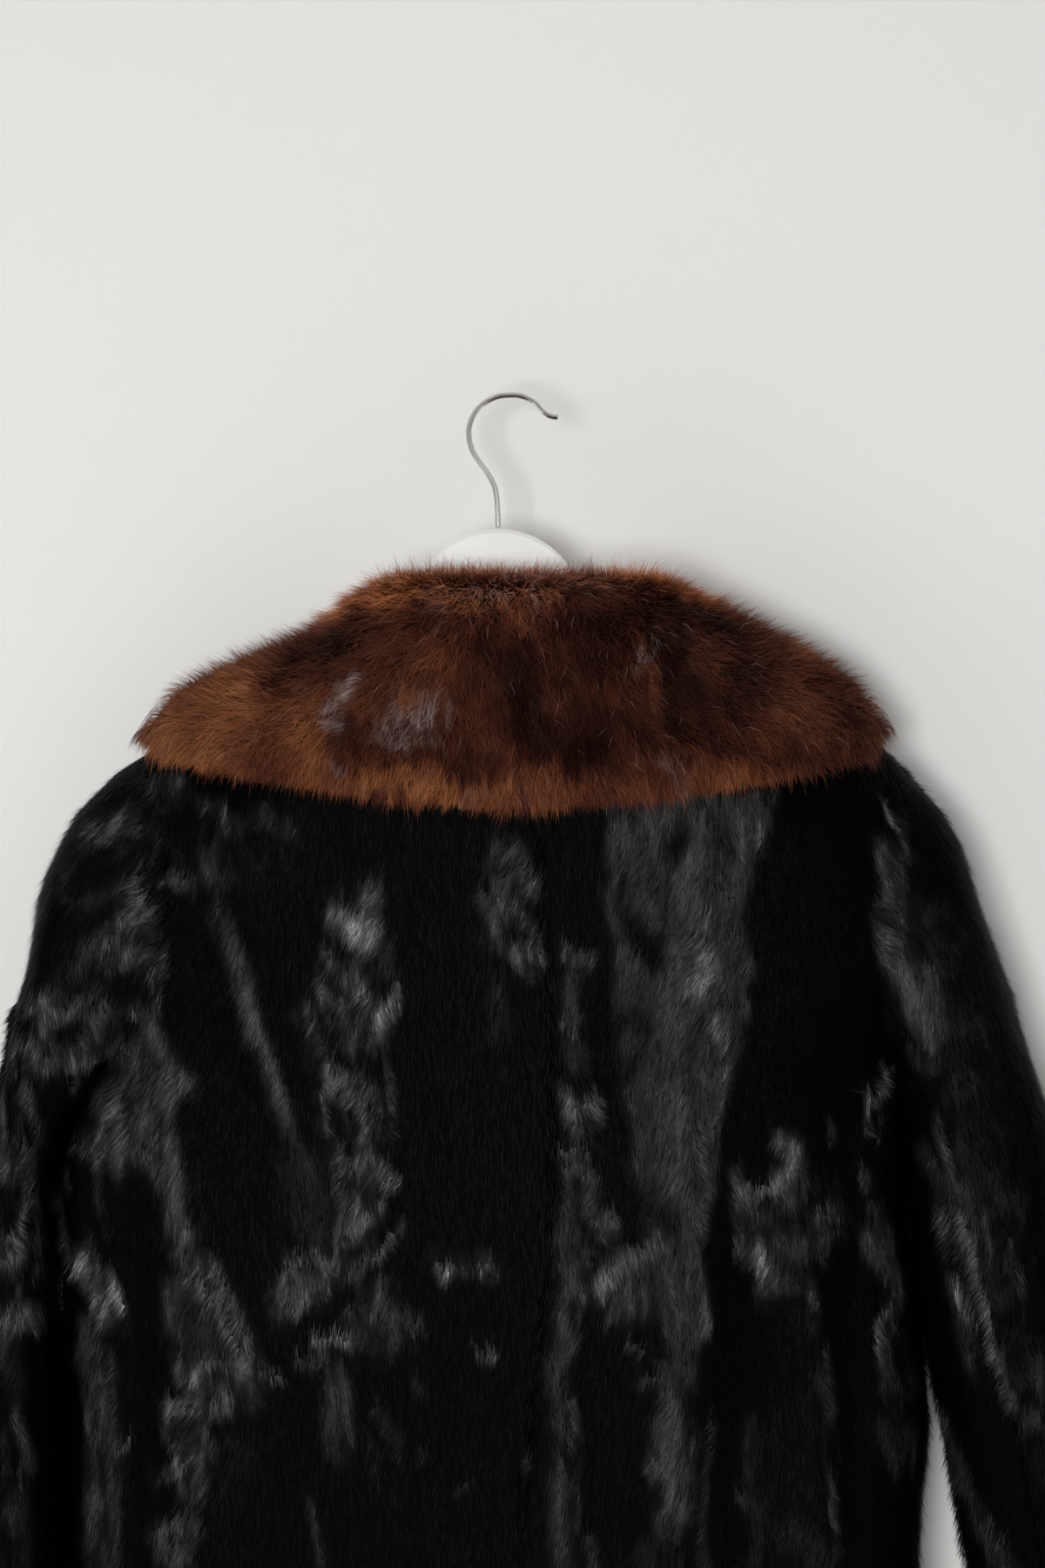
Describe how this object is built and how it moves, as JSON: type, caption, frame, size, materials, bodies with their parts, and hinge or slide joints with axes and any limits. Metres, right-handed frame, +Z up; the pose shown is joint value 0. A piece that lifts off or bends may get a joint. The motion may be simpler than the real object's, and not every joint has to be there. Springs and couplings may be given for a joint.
{
  "type": "fur coat on a hanger",
  "caption": "Black short-haired fur coat with a wide brown mink collar spread over the shoulders and set-in sleeves, hanging open at the hem on a white hanger with a wire hook.",
  "frame": {"origin": "underside of the top of the hanger's hook, where the hook bears on a rail, peg or wall hook", "axes": "+Z up, -Y the coat's back, +Y the coat's front, +X the wearer's right"},
  "size_m": [0.7878, 0.183, 1.084],
  "materials": {
    "black_fur": "short flat glossy pile",
    "brown_mink": "dense soft pile with guard hairs",
    "hanger": "satin white",
    "hook_wire": "polished"
  },
  "bodies": {
    "root": {"back_left": "black_fur", "back_right": "black_fur", "front_left": "black_fur", "front_right": "black_fur", "sleeve_top_left": "black_fur", "sleeve_top_right": "black_fur", "sleeve_under_left": "black_fur", "sleeve_under_right": "black_fur", "collar_left": "brown_mink", "collar_right": "brown_mink", "hanger_body": "hanger", "hanger_hook": "hook_wire"}
  },
  "joints": []
}
